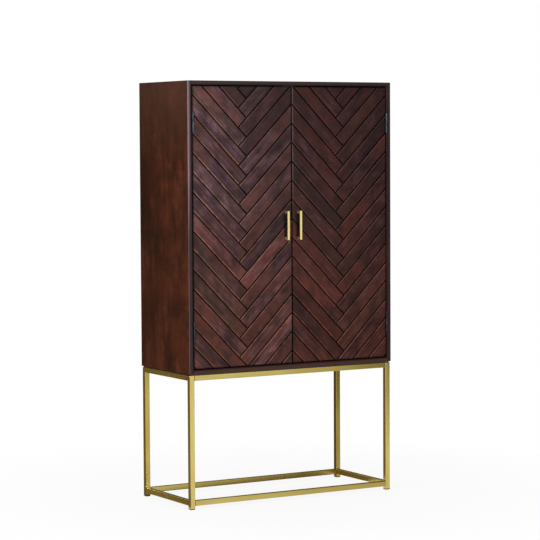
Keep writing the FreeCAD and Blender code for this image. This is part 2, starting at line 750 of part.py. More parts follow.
rail_heights = {"upper": "rail_z", "lower": "lower_rail_z"}
for level, z in rail_heights.items():
    for end, y in (("front", "leg_front_y"), ("back", "leg_back_y")):
        start = ("-(frame_x - tube_size)", y, z)
        rail = tube(f"{level}_{end}_tube", "2 * (frame_x - tube_size)", start, "+x")
        if level == "upper":
            holes = []
            for at in bolt_places:
                if at[1] == y:
                    inside = further(at, "-z", "tube_size / 2")
                    holes.append(rod(f"{end}_rail_hole", "bolt_hole_radius", "tube_size / 2", at, "-z"))
                    holes.append(rod(f"{end}_rail_access", "bolt_head_radius + bolt_access",
                                     "tube_size / 2", inside, "-z"))
            rail = cut(f"{level}_{end}_rail", rail, holes)
        node(rail, f"{level}_rail_{end}")
    for side in sides:
        start = (on_side(side, "leg_x"), "frame_front_y + tube_size", z)
        rail = tube(f"{level}_{side}_tube", "frame_back_y - frame_front_y - 2 * tube_size", start, "+y")
        node(rail, f"{level}_rail_{side}")

# Dark spacer strips along the upper rails, and the screws that hold the case
pad_half = "pad_width / 2"
pad_z = ("stand_z", "case_z")
pads = []
for end, y in (("front", "leg_front_y"), ("back", "leg_back_y")):
    strip = block(f"pad_{end}_strip", ("-(frame_x - pad_end)", "frame_x - pad_end"),
                  (f"{y} - {pad_half}", f"{y} + {pad_half}"), pad_z)
    bores = [
        rod(f"pad_{end}_bore", "bolt_hole_radius", "pad_height", at, "+z")
        for at in bolt_places
        if at[1] == y
    ]
    pads.append(cut(f"pad_{end}", strip, bores))
for side in sides:
    pads.append(block(f"pad_{side}", on_side(side, (f"leg_x - {pad_half}", f"leg_x + {pad_half}")),
                      (f"leg_front_y + {pad_half}", f"leg_back_y - {pad_half}"), pad_z))
node(group("pads", pads), "spacer_pads")

bolts = []
for at in bolt_places:
    under = further(at, "-z", "tube_wall")
    bolts.append(pan_screw("stand_bolt", under, "+z", "bolt_radius", "tube_wall + pad_height + bolt_bite",
                           "bolt_head_radius", "bolt_head_height"))
node(group("stand_bolts", bolts), "stand_screws")

# Check everything, then write one file for each sub-part

doc.recompute()
for thing in doc.Objects:
    if "Invalid" in thing.State or "Error" in thing.State:
        raise RuntimeError(f"{thing.Label} failed: {thing.State}")
for thing in nodes:
    if thing.Shape.isNull() or not thing.Shape.isValid() or not thing.Shape.Solids:
        raise RuntimeError(f"{thing.Label} has no sound solid")

os.makedirs("parts", exist_ok=True)
for thing in nodes:
    thing.Shape.exportStep(f"parts/{thing.Label}.step")
    print(thing.Label, len(thing.Shape.Solids), "solids", round(thing.Shape.Volume / 1000, 1), "cm3")
print(len(nodes), "sub-parts")
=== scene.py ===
import json
import math

import bmesh
import bpy
from mathutils import Matrix, Vector

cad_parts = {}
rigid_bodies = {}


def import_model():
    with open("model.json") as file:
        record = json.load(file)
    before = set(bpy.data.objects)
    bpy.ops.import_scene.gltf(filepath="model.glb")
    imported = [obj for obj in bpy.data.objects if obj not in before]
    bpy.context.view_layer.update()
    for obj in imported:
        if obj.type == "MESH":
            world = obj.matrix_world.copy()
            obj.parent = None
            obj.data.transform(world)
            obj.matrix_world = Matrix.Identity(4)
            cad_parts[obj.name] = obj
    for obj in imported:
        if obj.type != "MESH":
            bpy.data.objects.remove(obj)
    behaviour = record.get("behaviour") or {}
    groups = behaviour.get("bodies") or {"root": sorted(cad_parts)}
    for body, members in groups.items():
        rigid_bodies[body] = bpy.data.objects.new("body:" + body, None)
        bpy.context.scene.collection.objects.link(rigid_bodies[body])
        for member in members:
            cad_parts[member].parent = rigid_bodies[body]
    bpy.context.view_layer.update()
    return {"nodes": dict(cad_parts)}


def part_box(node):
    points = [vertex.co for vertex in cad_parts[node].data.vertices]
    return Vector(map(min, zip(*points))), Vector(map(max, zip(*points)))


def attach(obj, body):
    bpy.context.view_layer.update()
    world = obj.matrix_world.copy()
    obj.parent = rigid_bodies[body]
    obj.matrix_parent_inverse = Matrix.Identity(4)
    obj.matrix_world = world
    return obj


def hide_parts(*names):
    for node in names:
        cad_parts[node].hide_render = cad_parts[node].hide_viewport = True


for stray in list(bpy.data.objects):  # the start-up cube, lamp and camera
    bpy.data.objects.remove(stray)

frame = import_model()
nodes = frame["nodes"]
scene = bpy.context.scene
mm = 0.001
slatPitch = 51 * mm  # a slat and its gap
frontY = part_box("case_side_left")[0][1]
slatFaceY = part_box("slats_left_outer")[0][1]
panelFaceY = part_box("door_panel_left")[0][1]
doorCorner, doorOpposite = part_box("door_panel_right")  # the left door is its mirror image
doorNear, doorLow = doorCorner[0], doorCorner[2]
doorFar, doorHigh = doorOpposite[0], doorOpposite[2]
print("frame:", len(nodes), "solids' nodes")


# node tree helpers

def feed(tree, socket, value):
    if isinstance(value, bpy.types.NodeSocket):
        tree.links.new(value, socket)
    else:
        socket.default_value = value


def addNode(tree, kind, inputs=None, **settings):
    made = tree.nodes.new(kind)
    for key, value in settings.items():
        setattr(made, key, value)
    for key, value in (inputs or {}).items():
        feed(tree, made.inputs[key], value)
    return made


def calc(tree, operation, first, second=0.0):
    made = addNode(tree, "ShaderNodeMath", {0: first, 1: second}, operation=operation)
    return made.outputs[0]


def vecCalc(tree, operation, first, second):
    made = addNode(tree, "ShaderNodeVectorMath", {0: first, 1: second}, operation=operation)
    return made.outputs["Value" if operation == "DOT_PRODUCT" else "Vector"]


def joinXyz(tree, x, y, z):
    return addNode(tree, "ShaderNodeCombineXYZ", {0: x, 1: y, 2: z}).outputs[0]


def splitXyz(tree, spot):
    return addNode(tree, "ShaderNodeSeparateXYZ", {0: spot}).outputs


def remap(tree, value, low, high, toLow, toHigh):
    limits = {"Value": value, "From Min": low, "From Max": high, "To Min": toLow, "To Max": toHigh}
    return addNode(tree, "ShaderNodeMapRange", limits).outputs["Result"]


def within(tree, value, low, high):  # how far inside two limits
    return calc(tree, "MINIMUM", calc(tree, "SUBTRACT", value, low), calc(tree, "SUBTRACT", high, value))


def weigh(tree, first, firstShare, second, secondShare):
    part = calc(tree, "MULTIPLY", first, firstShare)
    return calc(tree, "ADD", part, calc(tree, "MULTIPLY", second, secondShare))


def mixColour(tree, share, first, second, blend="MIX"):
    made = addNode(tree, "ShaderNodeMix", data_type="RGBA", blend_type=blend)
    feed(tree, made.inputs[0], share)
    feed(tree, made.inputs[6], first)
    feed(tree, made.inputs[7], second)
    return made.outputs[2]


def ramp(tree, value, stops):
    made = addNode(tree, "ShaderNodeValToRGB", {"Fac": value})
    bar = made.color_ramp
    while len(bar.elements) < len(stops):
        bar.elements.new(0.5)
    for element, (place, colour) in zip(bar.elements, stops):
        element.position = place
        element.color = colour
    return made.outputs["Color"]


def tone(red, green, blue):  # a colour as a screen shows it, 0 to 255
    def straight(level):
        level = level / 255
        return level / 12.92 if level <= 0.04045 else ((level + 0.055) / 1.055) ** 2.4
    return (straight(red), straight(green), straight(blue), 1.0)


def startFinish(name):
    finish = bpy.data.materials.new(name)
    finish.use_nodes = True
    tree = finish.node_tree
    tree.nodes.clear()
    shader = addNode(tree, "ShaderNodeBsdfPrincipled")
    output = addNode(tree, "ShaderNodeOutputMaterial")
    tree.links.new(shader.outputs["BSDF"], output.inputs["Surface"])
    return finish, tree, shader


def objectSpot(tree):
    return addNode(tree, "ShaderNodeTexCoord").outputs["Object"]


def objectPlace(order):  # object coordinates, with the grain's own axis first
    def place(tree):
        parts = splitXyz(tree, objectSpot(tree))
        return joinXyz(tree, *[parts[axis] for axis in order])
    return place


noises = {  # octaves, strength of the finer ones, a shift of its own, and the range that counts
    "mottle": {"detail": 6.0, "rough": 0.68, "apart": 0.0},
    "streak": {"detail": 5.0, "rough": 0.65, "apart": 3.1, "range": (0.3, 0.7)},
    "fibre": {"detail": 2.0, "rough": 0.5, "apart": 7.7, "range": (0.52, 0.70)},
    "tint": {"detail": 2.0, "rough": 0.5, "apart": 12.3, "range": (0.42, 0.62)},
    "soil": {"detail": 5.0, "rough": 0.68, "apart": 17.0, "range": (0.46, 0.66)},
    "wornLit": {"detail": 3.0, "rough": 0.6, "apart": 26.0, "range": (0.35, 0.65)},
    "brush": {"detail": 3.0, "rough": 0.6, "apart": 0.0, "range": (0.3, 0.7)},
    "patch": {"detail": 3.0, "rough": 0.55, "apart": 9.0},
    "grit": {"detail": 3.0, "rough": 0.6, "apart": 1.0},
    "scuff": {"detail": 4.0, "rough": 0.6, "apart": 6.0, "range": (0.3, 0.7)},
}
shiftWays = (1.0, 1.7, 0.6)


def cloud(tree, place, kind, stretch, shift=0.0):
    noise = noises[kind]
    shift = shift + noise["apart"]
    stretched = vecCalc(tree, "MULTIPLY", place, stretch)
    moved = vecCalc(tree, "ADD", stretched, tuple(way * shift for way in shiftWays))
    settings = {"Vector": moved, "Scale": 1.0, "Detail": noise["detail"], "Roughness": noise["rough"]}
    return addNode(tree, "ShaderNodeTexNoise", settings).outputs[0]


def ranged(tree, value, kind, low, high):  # the range of a noise that counts, spread between two values
    start, end = noises[kind]["range"]
    return remap(tree, value, start, end, low, high)


def addBump(tree, shader, height, strength, distance):
    settings = {"Height": height, "Strength": strength, "Distance": distance}
    made = addNode(tree, "ShaderNodeBump", settings)
    tree.links.new(made.outputs["Normal"], shader.inputs["Normal"])


# wood finishes

def woodFinish(name, place, look):
    finish, tree, shader = startFinish(name)
    grain = place(tree)
    mottle = cloud(tree, grain, "mottle", look["mottle"], look["shift"])
    streak = cloud(tree, grain, "streak", look["streak"], look["shift"])
    fibre = cloud(tree, grain, "fibre", look["fibre"], look["shift"])
    tint = cloud(tree, grain, "tint", look["tintPatch"], look["shift"])
    figure = weigh(tree, mottle, look["mottleShare"], streak, 1 - look["mottleShare"])
    body = ramp(tree, figure, [
        (0.5 - look["spread"], look["dark"]), (0.5, look["middle"]), (0.5 + look["spread"], look["light"]),
    ])
    warm = mixColour(tree, ranged(tree, tint, "tint", 0.0, look["tintShare"]), body, look["tint"])
    pores = ranged(tree, fibre, "fibre", 0.0, look["poreShare"])
    colour = mixColour(tree, pores, warm, look["pore"])
    feed(tree, shader.inputs["Base Color"], colour)
    feed(tree, shader.inputs["Roughness"], ranged(tree, streak, "streak", *look["gloss"]))
    shader.inputs["Specular IOR Level"].default_value = look["specular"]
    ridges = weigh(tree, fibre, look["fibreRidge"], streak, look["streakRidge"])
    addBump(tree, shader, ridges, look["bump"], look["bumpDepth"])
    return finish, tree, shader, colour


def soil(tree, spot, colour, look):  # dull dark patches that old polish leaves
    patch = cloud(tree, spot, "soil", look["soilPatch"], look["shift"])
    return mixColour(tree, ranged(tree, patch, "soil", 0.0, look["soilShare"]), colour, look["soilTone"])


caseLook = {
    "mottle": (4.5, 13.0, 13.0), "streak": (3.0, 60.0, 60.0), "fibre": (26.0, 620.0, 620.0),
    "tintPatch": (3.0, 5.0, 5.0), "shift": 0.0, "mottleShare": 0.68, "spread": 0.15,
    "dark": tone(38, 14, 7), "middle": tone(66, 28, 16), "light": tone(100, 52, 34),
    "tint": tone(80, 37, 20), "tintShare": 0.5, "pore": tone(26, 11, 8), "poreShare": 0.35,
    "gloss": (0.36, 0.50), "specular": 0.13,
    "fibreRidge": 0.6, "streakRidge": 0.8, "bump": 0.22, "bumpDepth": 0.4 * mm,
    "soilPatch": (7.0, 7.0, 10.0), "soilShare": 0.75, "soilTone": tone(34, 17, 10),
}
frontEdge = {
    "deep": 1.6 * mm, "shadeNear": 2.4 * mm, "shadeFar": 6 * mm,
    "shadeShare": 0.9, "shadeTone": tone(10, 6, 7),  # painted shade beside the doors
    "cornerBroad": 11 * mm, "cornerNarrow": 5 * mm, "cornerHigh": 0.85, "cornerLow": 0.3,
    "cornerLevels": (1.25, 1.0), "cornerTone": tone(156, 132, 140),  # a painted highlight along the left front corner, broader and brighter higher up
    "topLevels": (1.30, 1.56), "topShare": 0.5, "topTone": tone(80, 54, 44),
    "backReach": (-0.04, 0.205), "backMost": 0.8, "backLeast": 0.3,
    "backLevels": (0.90, 1.02, 1.26, 1.40), "backTone": tone(30, 12, 7),  # painted shade towards the back, darkest halfway up
}
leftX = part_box("case_side_left")[0][0]
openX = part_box("case_side_right")[0][0]
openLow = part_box("case_bottom")[1][2]
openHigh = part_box("case_top")[0][2]


def edgedFinish(name, order, look):  # the boards' front edges greyer, paler towards the top; painted shade towards the back and beside the doors; a painted highlight on the left front corner
    edge = frontEdge
    finish, tree, shader, colour = woodFinish(name, objectPlace(order), look)
    spot = objectSpot(tree)
    x, y, z = splitXyz(tree, spot)
    colour = soil(tree, spot, colour, look)
    # paler and greyer towards the top
    upperShare = remap(tree, z, *edge["topLevels"], 0.0, edge["topShare"])
    colour = mixColour(tree, upperShare, colour, edge["topTone"])
    low, rise, fall, high = edge["backLevels"]
    rising = remap(tree, z, low, rise, edge["backLeast"], edge["backMost"])
    falling = remap(tree, z, fall, high, edge["backMost"], edge["backLeast"])
    backward = remap(tree, y, *edge["backReach"], 0.0, 1.0)
    backward = calc(tree, "MULTIPLY", backward, calc(tree, "MINIMUM", rising, falling))
    colour = mixColour(tree, backward, colour, edge["backTone"])
    near = remap(tree, y, frontY, frontY + edge["deep"], 1.0, 0.0)
    colour = mixColour(tree, calc(tree, "MULTIPLY", near, look["edgeShare"]), colour, look["edgeTone"])
    cornerHighlight = remap(tree, z, *edge["cornerLevels"], edge["cornerHigh"], edge["cornerLow"])
    wide = remap(tree, z, *edge["cornerLevels"], edge["cornerBroad"], edge["cornerNarrow"])
    inward = remap(tree, calc(tree, "SUBTRACT", x, leftX), 0.0, wide, 1.0, 0.0)
    corner = calc(tree, "MULTIPLY", calc(tree, "MULTIPLY", inward, cornerHighlight), near)
    colour = mixColour(tree, corner, colour, edge["cornerTone"])
    beside = calc(tree, "SUBTRACT", calc(tree, "ABSOLUTE", x), openX)
    above = calc(tree, "SUBTRACT", z, openHigh)
    below = calc(tree, "SUBTRACT", openLow, z)
    outward = calc(tree, "MAXIMUM", beside, calc(tree, "MAXIMUM", above, below))
    shade = remap(tree, outward, edge["shadeNear"], edge["shadeFar"], edge["shadeShare"], 0.0)
    colour = mixColour(tree, calc(tree, "MULTIPLY", shade, near), colour, edge["shadeTone"])
    feed(tree, shader.inputs["Base Color"], colour)
    return finish


greyEdge = {"edgeTone": tone(44, 31, 35), "edgeShare": 0.85}
warmEdge = {"edgeTone": tone(64, 40, 30), "edgeShare": 0.8}
sideWood = edgedFinish("sideWood", "ZYX", {**caseLook, **greyEdge})
topWood = edgedFinish("topWood", "XYZ", {**caseLook, **greyEdge, "shift": 21.0, "edgeShare": 0.75})
bottomWood = edgedFinish("bottomWood", "XYZ", {**caseLook, **warmEdge, "shift": 29.0})

innerLook = {
    **caseLook, "dark": tone(34, 13, 6), "middle": tone(56, 23, 13), "light": tone(88, 46, 30),
    "tint": tone(70, 33, 18), "gloss": (0.42, 0.56),
}
shelfWood = woodFinish("shelfWood", objectPlace("XYZ"), {**innerLook, "shift": 47.0})[0]
panelLook = {
    **innerLook, "shift": 63.0, "groove": tone(12, 4, 3), "grooveNear": 0.2 * mm, "grooveFar": 1.5 * mm,
}


def panelFinish(name, look):  # painted shade on the panel's face between the slats
    finish, tree, shader, colour = woodFinish(name, objectPlace("ZXY"), look)
    depth = splitXyz(tree, objectSpot(tree))["Y"]
    near, far = panelFaceY + look["grooveNear"], panelFaceY + look["grooveFar"]
    inGroove = remap(tree, depth, near, far, 1.0, 0.0)
    feed(tree, shader.inputs["Base Color"], mixColour(tree, inGroove, colour, look["groove"]))
    return finish


panelWood = panelFinish("panelWood", panelLook)

boardLook = {
    **caseLook, "shift": 84.0, "mottle": (10.0, 14.0, 14.0), "streak": (9.0, 60.0, 60.0),
    "mottleShare": 0.6, "dark": tone(62, 42, 31), "middle": tone(84, 60, 45), "light": tone(106, 80, 62),
    "tint": tone(92, 62, 44), "gloss": (0.55, 0.7), "bump": 0.3,
}
backBoard = woodFinish("backBoard", objectPlace("ZXY"), boardLook)[0]

dowelLook = {
    **caseLook, "shift": 95.0, "dark": tone(176, 136, 88), "middle": tone(204, 166, 116),
    "light": tone(222, 190, 144), "tint": tone(196, 150, 100), "pore": tone(140, 100, 62),
    "gloss": (0.5, 0.65),
}
dowelWood = woodFinish("dowelWood", objectPlace("XYZ"), dowelLook)[0]

slatLook = {
    **caseLook, "shift": 5.0, "mottle": (14.0, 28.0, 28.0), "streak": (3.5, 210.0, 210.0),
    "fibre": (42.0, 900.0, 900.0), "tintPatch": (5.0, 12.0, 12.0), "mottleShare": 0.55, "spread": 0.12,
    "dark": tone(26, 11, 13), "middle": tone(62, 38, 42), "light": tone(92, 65, 67),
    "tint": tone(86, 46, 34), "pore": tone(26, 13, 12), "poreShare": 0.3,
    "gloss": (0.30, 0.42), "bump": 0.25,
    "soilPatch": (13.0, 13.0, 13.0), "soilShare": 0.7, "soilTone": tone(30, 18, 15),
    "red": tone(88, 44, 34), "redFrom": 0.6, "olive": tone(60, 46, 28), "oliveFrom": 0.25,
    "hueShare": 0.28, "stain": (0.56, 1.5),  # each slat's own hue and strength
    "wornLitStart": 1.8 * mm, "wornLitPeak": 3.4 * mm, "wornLitEnd": 6.0 * mm,  # wear and a painted highlight, measured from the slat's far edge
    "wornLitLevels": (1.2, 1.48), "wornLitLeast": 0.3, "wornLitReach": (-0.26, -0.17), "wornLitInner": 0.55,
    "wornLitRight": 0.75, "wornLitPatch": (30.0, 90.0, 90.0), "wornLitShares": (0.15, 0.92),
    "wornLitTone": tone(164, 118, 88), "dullLitTone": tone(128, 98, 92),
    "warmLevels": (1.15, 0.6), "warm": (1.12, 0.98, 0.84, 1),
    "dimLevels": (1.38, 1.57), "dim": (0.74, 0.74, 0.74, 1),
    # painted shade over the right door, most at its top; a painted sheen on the upper outer part of the
    # left door
    "rightLevels": (0.6, 1.25), "rightFoot": (1.08, 0.87, 0.73, 1), "rightHead": (0.78, 0.64, 0.64, 1),
    "leftReach": (-0.42, -0.08), "leftLevels": (0.95, 1.2),
    "headOuter": (1.55, 1.70, 1.85, 1), "headInner": (0.70, 0.74, 0.79, 1),
    "footOuter": (0.85, 0.81, 0.77, 1), "footInner": (1.08, 1.12, 1.14, 1),
    # painted shade along each door's rim
    "rimNear": 1.5 * mm, "rimFar": 7 * mm, "rimShare": 0.75, "rimTone": tone(10, 6, 6),
    "gripNear": 18 * mm, "gripFar": 37 * mm, "gripLow": 1008 * mm, "gripHigh": 1100 * mm,
    "gripSoft": 4 * mm, "gripShare": 0.9,  # the shade behind a handle
    "meetingSpare": 4 * mm, "meetingNear": 2.5 * mm, "meetingFar": 6 * mm,  # less rim shade where the doors meet, and a painted highlight on the right door's edge there, brighter higher up
    "meetingLevels": (1.05, 1.25), "meetingShare": 0.24, "meetingTone": tone(132, 120, 122),
    # painted shade in the grooves, wider higher up
    "groove": tone(9, 3, 3), "grooveDeep": 2.8 * mm, "grooveEnd": 0.95,
    "grooveLevels": (1.30, 0.95), "grooveStarts": (0.12, 0.4),
}


def slatValue(tree, name, output="Fac"):
    return addNode(tree, "ShaderNodeAttribute", attribute_name=name).outputs[output]


def slatPlace(tree):
    return slatValue(tree, "grainPlace", "Vector")


def ownStain(tree, colour, look):
    hue = slatValue(tree, "slatTint")
    redShare = remap(tree, hue, look["redFrom"], 1.0, 0.0, look["hueShare"])
    colour = mixColour(tree, redShare, colour, look["red"])
    oliveShare = remap(tree, hue, look["oliveFrom"], 0.0, 0.0, look["hueShare"])
    colour = mixColour(tree, oliveShare, colour, look["olive"])
    bright = remap(tree, slatValue(tree, "slatTone"), 0.0, 1.0, *look["stain"])
    return mixColour(tree, 1.0, colour, joinXyz(tree, bright, bright, bright), "MULTIPLY")


def wornLitEdges(tree, colour, look, x, z, onRight):  # pale lines along the slats' far edges: uneven wear with a painted highlight, fainter higher up, towards the middle and on the right door
    edge = calc(tree, "SUBTRACT", slatPitch, splitXyz(tree, slatPlace(tree))["Y"])
    rising = remap(tree, edge, look["wornLitStart"], look["wornLitPeak"], 0.0, 1.0)
    falling = remap(tree, edge, look["wornLitPeak"], look["wornLitEnd"], 1.0, 0.0)
    wornLit = calc(tree, "MINIMUM", rising, falling)
    byHeight = remap(tree, z, *look["wornLitLevels"], 1.0, look["wornLitLeast"])
    onLeft = remap(tree, x, *look["wornLitReach"], 1.0, look["wornLitInner"])
    byDoor = addNode(tree, "ShaderNodeMix", {0: onRight, 2: onLeft, 3: look["wornLitRight"]}).outputs[0]
    patch = cloud(tree, slatPlace(tree), "wornLit", look["wornLitPatch"], look["shift"])
    byPatch = ranged(tree, patch, "wornLit", *look["wornLitShares"])
    for share in (byHeight, byDoor, byPatch):
        wornLit = calc(tree, "MULTIPLY", wornLit, share)
    lineTone = mixColour(tree, onRight, look["wornLitTone"], look["dullLitTone"])
    return mixColour(tree, wornLit, colour, lineTone)


def doorTones(tree, colour, look, x, z, onRight):  # broad tone over each door: warmer towards the bottom and darker at the very top; a painted sheen on the left door's upper outer part, falling to painted shade towards its middle; the right door painted darker, most at its top
    low = remap(tree, z, *look["warmLevels"], 0.0, 1.0)
    colour = mixColour(tree, low, colour, look["warm"], "MULTIPLY")
    high = remap(tree, z, *look["dimLevels"], 0.0, 1.0)
    colour = mixColour(tree, high, colour, look["dim"], "MULTIPLY")
    rightUp = remap(tree, z, *look["rightLevels"], 0.0, 1.0)
    rightTone = mixColour(tree, rightUp, look["rightFoot"], look["rightHead"])
    inward = remap(tree, x, *look["leftReach"], 0.0, 1.0)
    headTone = mixColour(tree, inward, look["headOuter"], look["headInner"])
    footTone = mixColour(tree, inward, look["footOuter"], look["footInner"])
    leftUp = remap(tree, z, *look["leftLevels"], 0.0, 1.0)
    leftTone = mixColour(tree, leftUp, footTone, headTone)
    return mixColour(tree, 1.0, colour, mixColour(tree, onRight, leftTone, rightTone), "MULTIPLY")


def doorShades(tree, colour, look, x, z, onRight):  # painted shade at the rim and behind the handle, and a painted highlight where the doors meet
    aside = calc(tree, "ABSOLUTE", x)
    overX = within(tree, aside, doorNear - look["meetingSpare"], doorFar)
    fromRim = calc(tree, "MINIMUM", overX, within(tree, z, doorLow, doorHigh))
    rim = remap(tree, fromRim, look["rimNear"], look["rimFar"], look["rimShare"], 0.0)
    colour = mixColour(tree, rim, colour, look["rimTone"])
    besideGrip = within(tree, aside, look["gripNear"], look["gripFar"])
    inGrip = calc(tree, "MINIMUM", besideGrip, within(tree, z, look["gripLow"], look["gripHigh"]))
    grip = remap(tree, inGrip, 0.0, look["gripSoft"], 0.0, look["gripShare"])
    colour = mixColour(tree, grip, colour, look["rimTone"])
    upper = remap(tree, z, *look["meetingLevels"], 0.0, look["meetingShare"])
    fromMiddle = calc(tree, "SUBTRACT", aside, doorNear)
    meeting = remap(tree, fromMiddle, look["meetingNear"], look["meetingFar"], upper, 0.0)
    return mixColour(tree, calc(tree, "MULTIPLY", meeting, onRight), colour, look["meetingTone"])


# painted shade in the grooves between the slats, darker deeper down
def darkGrooves(tree, colour, look, z):
    depth = splitXyz(tree, slatPlace(tree))["Z"]
    share = calc(tree, "DIVIDE", depth, look["grooveDeep"])
    start = remap(tree, z, *look["grooveLevels"], *look["grooveStarts"])
    return mixColour(tree, remap(tree, share, start, look["grooveEnd"], 0.0, 1.0), colour, look["groove"])


def slatFinish(name, look):
    finish, tree, shader, colour = woodFinish(name, slatPlace, look)
    spot = objectSpot(tree)
    parts = splitXyz(tree, spot)
    x, z = parts["X"], parts["Z"]
    onRight = calc(tree, "GREATER_THAN", x, 0.0)
    colour = ownStain(tree, colour, look)
    colour = wornLitEdges(tree, colour, look, x, z, onRight)
    colour = doorTones(tree, colour, look, x, z, onRight)
    colour = soil(tree, spot, colour, look)
    colour = doorShades(tree, colour, look, x, z, onRight)
    colour = darkGrooves(tree, colour, look, z)
    feed(tree, shader.inputs["Base Color"], colour)
    return finish


slatWood = slatFinish("slatWood", slatLook)


# metal and plastic finishes

def metalFinish(name, order, look):
    finish, tree, shader = startFinish(name)
    spot = objectPlace(order)(tree)
    brushed = cloud(tree, spot, "brush", look["brush"], look["shift"])
    patch = cloud(tree, spot, "patch", look["patch"], look["shift"])
    figure = weigh(tree, brushed, look["brushShare"], patch, 1 - look["brushShare"])
    colour = ramp(tree, figure, [(look["darkAt"], look["dark"]), (look["lightAt"], look["light"])])
    if "seams" in look:
        along = splitXyz(tree, spot)["X"]
        for end, inward in zip(look["seams"], (1, -1)):
            joint = remap(tree, along, end, end + inward * look["seamWide"], look["seamShare"], 0.0)
            colour = mixColour(tree, joint, colour, look["seamTone"])
        # darker towards the rail's right end
        rightward = remap(tree, along, *look["seams"], 0.0, look["rightwardShare"])
        colour = mixColour(tree, rightward, colour, look["rightwardTone"])
    feed(tree, shader.inputs["Base Color"], colour)
    feed(tree, shader.inputs["Roughness"], ranged(tree, brushed, "brush", *look["gloss"]))
    shader.inputs["Metallic"].default_value = look["metal"]
    addBump(tree, shader, brushed, look["bump"], look["bumpDepth"])
    return finish


metalLook = {"brushShare": 0.3, "darkAt": 0.33, "lightAt": 0.66, "bumpDepth": 0.1 * mm, "metal": 1.0}
brassLook = {
    **metalLook, "brush": (9.0, 1100.0, 1100.0), "patch": (5.0, 24.0, 24.0), "shift": 2.0,
    "gloss": (0.22, 0.30), "bump": 0.005, "dark": tone(196, 174, 94), "light": tone(216, 199, 126),
}
brassUp = metalFinish("brassUp", "ZXY", brassLook)
shadedBackBrass = {  # the back legs are darker copies of the brass, the right one darkest: painted shade
    "left": metalFinish("brassShadedBackLeft", "ZXY", {
        **brassLook, "shift": 44.0, "dark": tone(176, 155, 76), "light": tone(197, 178, 101),
    }),
    "right": metalFinish("brassShadedBackRight", "ZXY", {
        **brassLook, "shift": 52.0, "dark": tone(156, 136, 64), "light": tone(177, 158, 86),
    }),
}
railLook = {
    **brassLook, "seamWide": 1.6 * mm, "seamShare": 0.8, "seamTone": tone(92, 72, 30),
    "rightwardTone": tone(158, 136, 62),
}
brassWide = metalFinish("brassWide", "XYZ", {
    **railLook, "shift": 13.0, "dark": tone(184, 163, 84), "light": tone(203, 186, 112), "rightwardShare": 0.6,
    "seams": [corner[0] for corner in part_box("upper_rail_front")],
})
brassDeep = metalFinish("brassDeep", "YXZ", {
    **railLook, "shift": 26.0, "dark": tone(205, 183, 100), "light": tone(226, 208, 132), "rightwardShare": 0.0,
    "seams": [corner[1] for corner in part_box("upper_rail_left")],
})
handleBrass = metalFinish("handleBrass", "ZXY", {
    **brassLook, "shift": 39.0, "gloss": (0.10, 0.18), "metal": 0.8,
    "dark": tone(215, 190, 112), "light": tone(235, 215, 144),
})

hingeLook = {
    **metalLook, "brush": (14.0, 700.0, 700.0), "patch": (60.0, 90.0, 90.0), "shift": 4.0,
    "gloss": (0.28, 0.45), "bump": 0.05, "dark": tone(22, 23, 26), "light": tone(66, 70, 77),
}
hingeSteel = metalFinish("hingeSteel", "ZXY", hingeLook)
screwLook = {
    **metalLook, "brush": (300.0, 300.0, 300.0), "patch": (120.0, 120.0, 120.0), "shift": 8.0,
    "gloss": (0.25, 0.42), "bump": 0.15, "dark": tone(128, 122, 108), "light": tone(186, 180, 164),
}
screwSteel = metalFinish("screwSteel", "XYZ", screwLook)


def plasticFinish(name, look):
    finish, tree, shader = startFinish(name)
    spot = objectPlace("XYZ")(tree)
    grit = cloud(tree, spot, "grit", look["grit"])
    scuff = cloud(tree, spot, "scuff", look["scuff"])
    colour = ramp(tree, scuff, [(look["darkAt"], look["dark"]), (look["lightAt"], look["light"])])
    feed(tree, shader.inputs["Base Color"], colour)
    feed(tree, shader.inputs["Roughness"], ranged(tree, scuff, "scuff", *look["gloss"]))
    addBump(tree, shader, grit, look["bump"], look["bumpDepth"])
    return finish


plasticLook = {
    "grit": (1400.0, 1400.0, 1400.0), "scuff": (140.0, 140.0, 140.0), "gloss": (0.42, 0.6),
    "dark": tone(16, 16, 17), "darkAt": 0.35, "light": tone(34, 34, 35), "lightAt": 0.7,
    "bump": 0.3, "bumpDepth": 0.1 * mm,
}
blackPlastic = plasticFinish("blackPlastic", plasticLook)
print("finishes:", len(bpy.data.materials))


# piece helpers

shaping = {
    "smooth": math.radians(32), "weight": 100, "weld": 1e-6, "flat": math.radians(0.4),
    "onPlane": 0.02 * mm, "sharp": math.radians(60),
}


def addPiece(name, mesh, finish, body, replaced):
    piece = bpy.data.objects.new(name, mesh)
    scene.collection.objects.link(piece)
    mesh.materials.clear()
    mesh.materials.append(finish)
    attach(piece, body)
    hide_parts(*replaced)
    return piece


def addHelper(name, mesh):  # an object that only lends its mesh
    helper = bpy.data.objects.new(name, mesh)
    scene.collection.objects.link(helper)
    return helper


def evenShading(piece):
    piece.data.shade_smooth()
    piece.data.set_sharp_from_angle(angle=shaping["smooth"])
    even = piece.modifiers.new("evenShading", "WEIGHTED_NORMAL")
    even.keep_sharp = True
    even.weight = shaping["weight"]


def weldedShape(node):
    shape = bmesh.new()
    shape.from_mesh(nodes[node].data)
    bmesh.ops.remove_doubles(shape, verts=shape.verts, dist=shaping["weld"])
    return shape


def weldedCopy(node):  # welded, and without the edges that cross flat faces
    shape = weldedShape(node)
    bmesh.ops.dissolve_limit(shape, angle_limit=shaping["flat"], verts=shape.verts, edges=shape.edges)
    return shape


def boxEdges(shape, node):  # the edges that lie along the box of a board
    low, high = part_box(node)
    found = []
    for edge in shape.edges:
        planes = set()
        for axis in range(3):
            ends = [vert.co[axis] for vert in edge.verts]
            for level in (low[axis], high[axis]):
                if all(abs(end - level) < shaping["onPlane"] for end in ends):
                    planes.add(axis)
        if len(planes) == 2:
            found.append(edge)
    return found


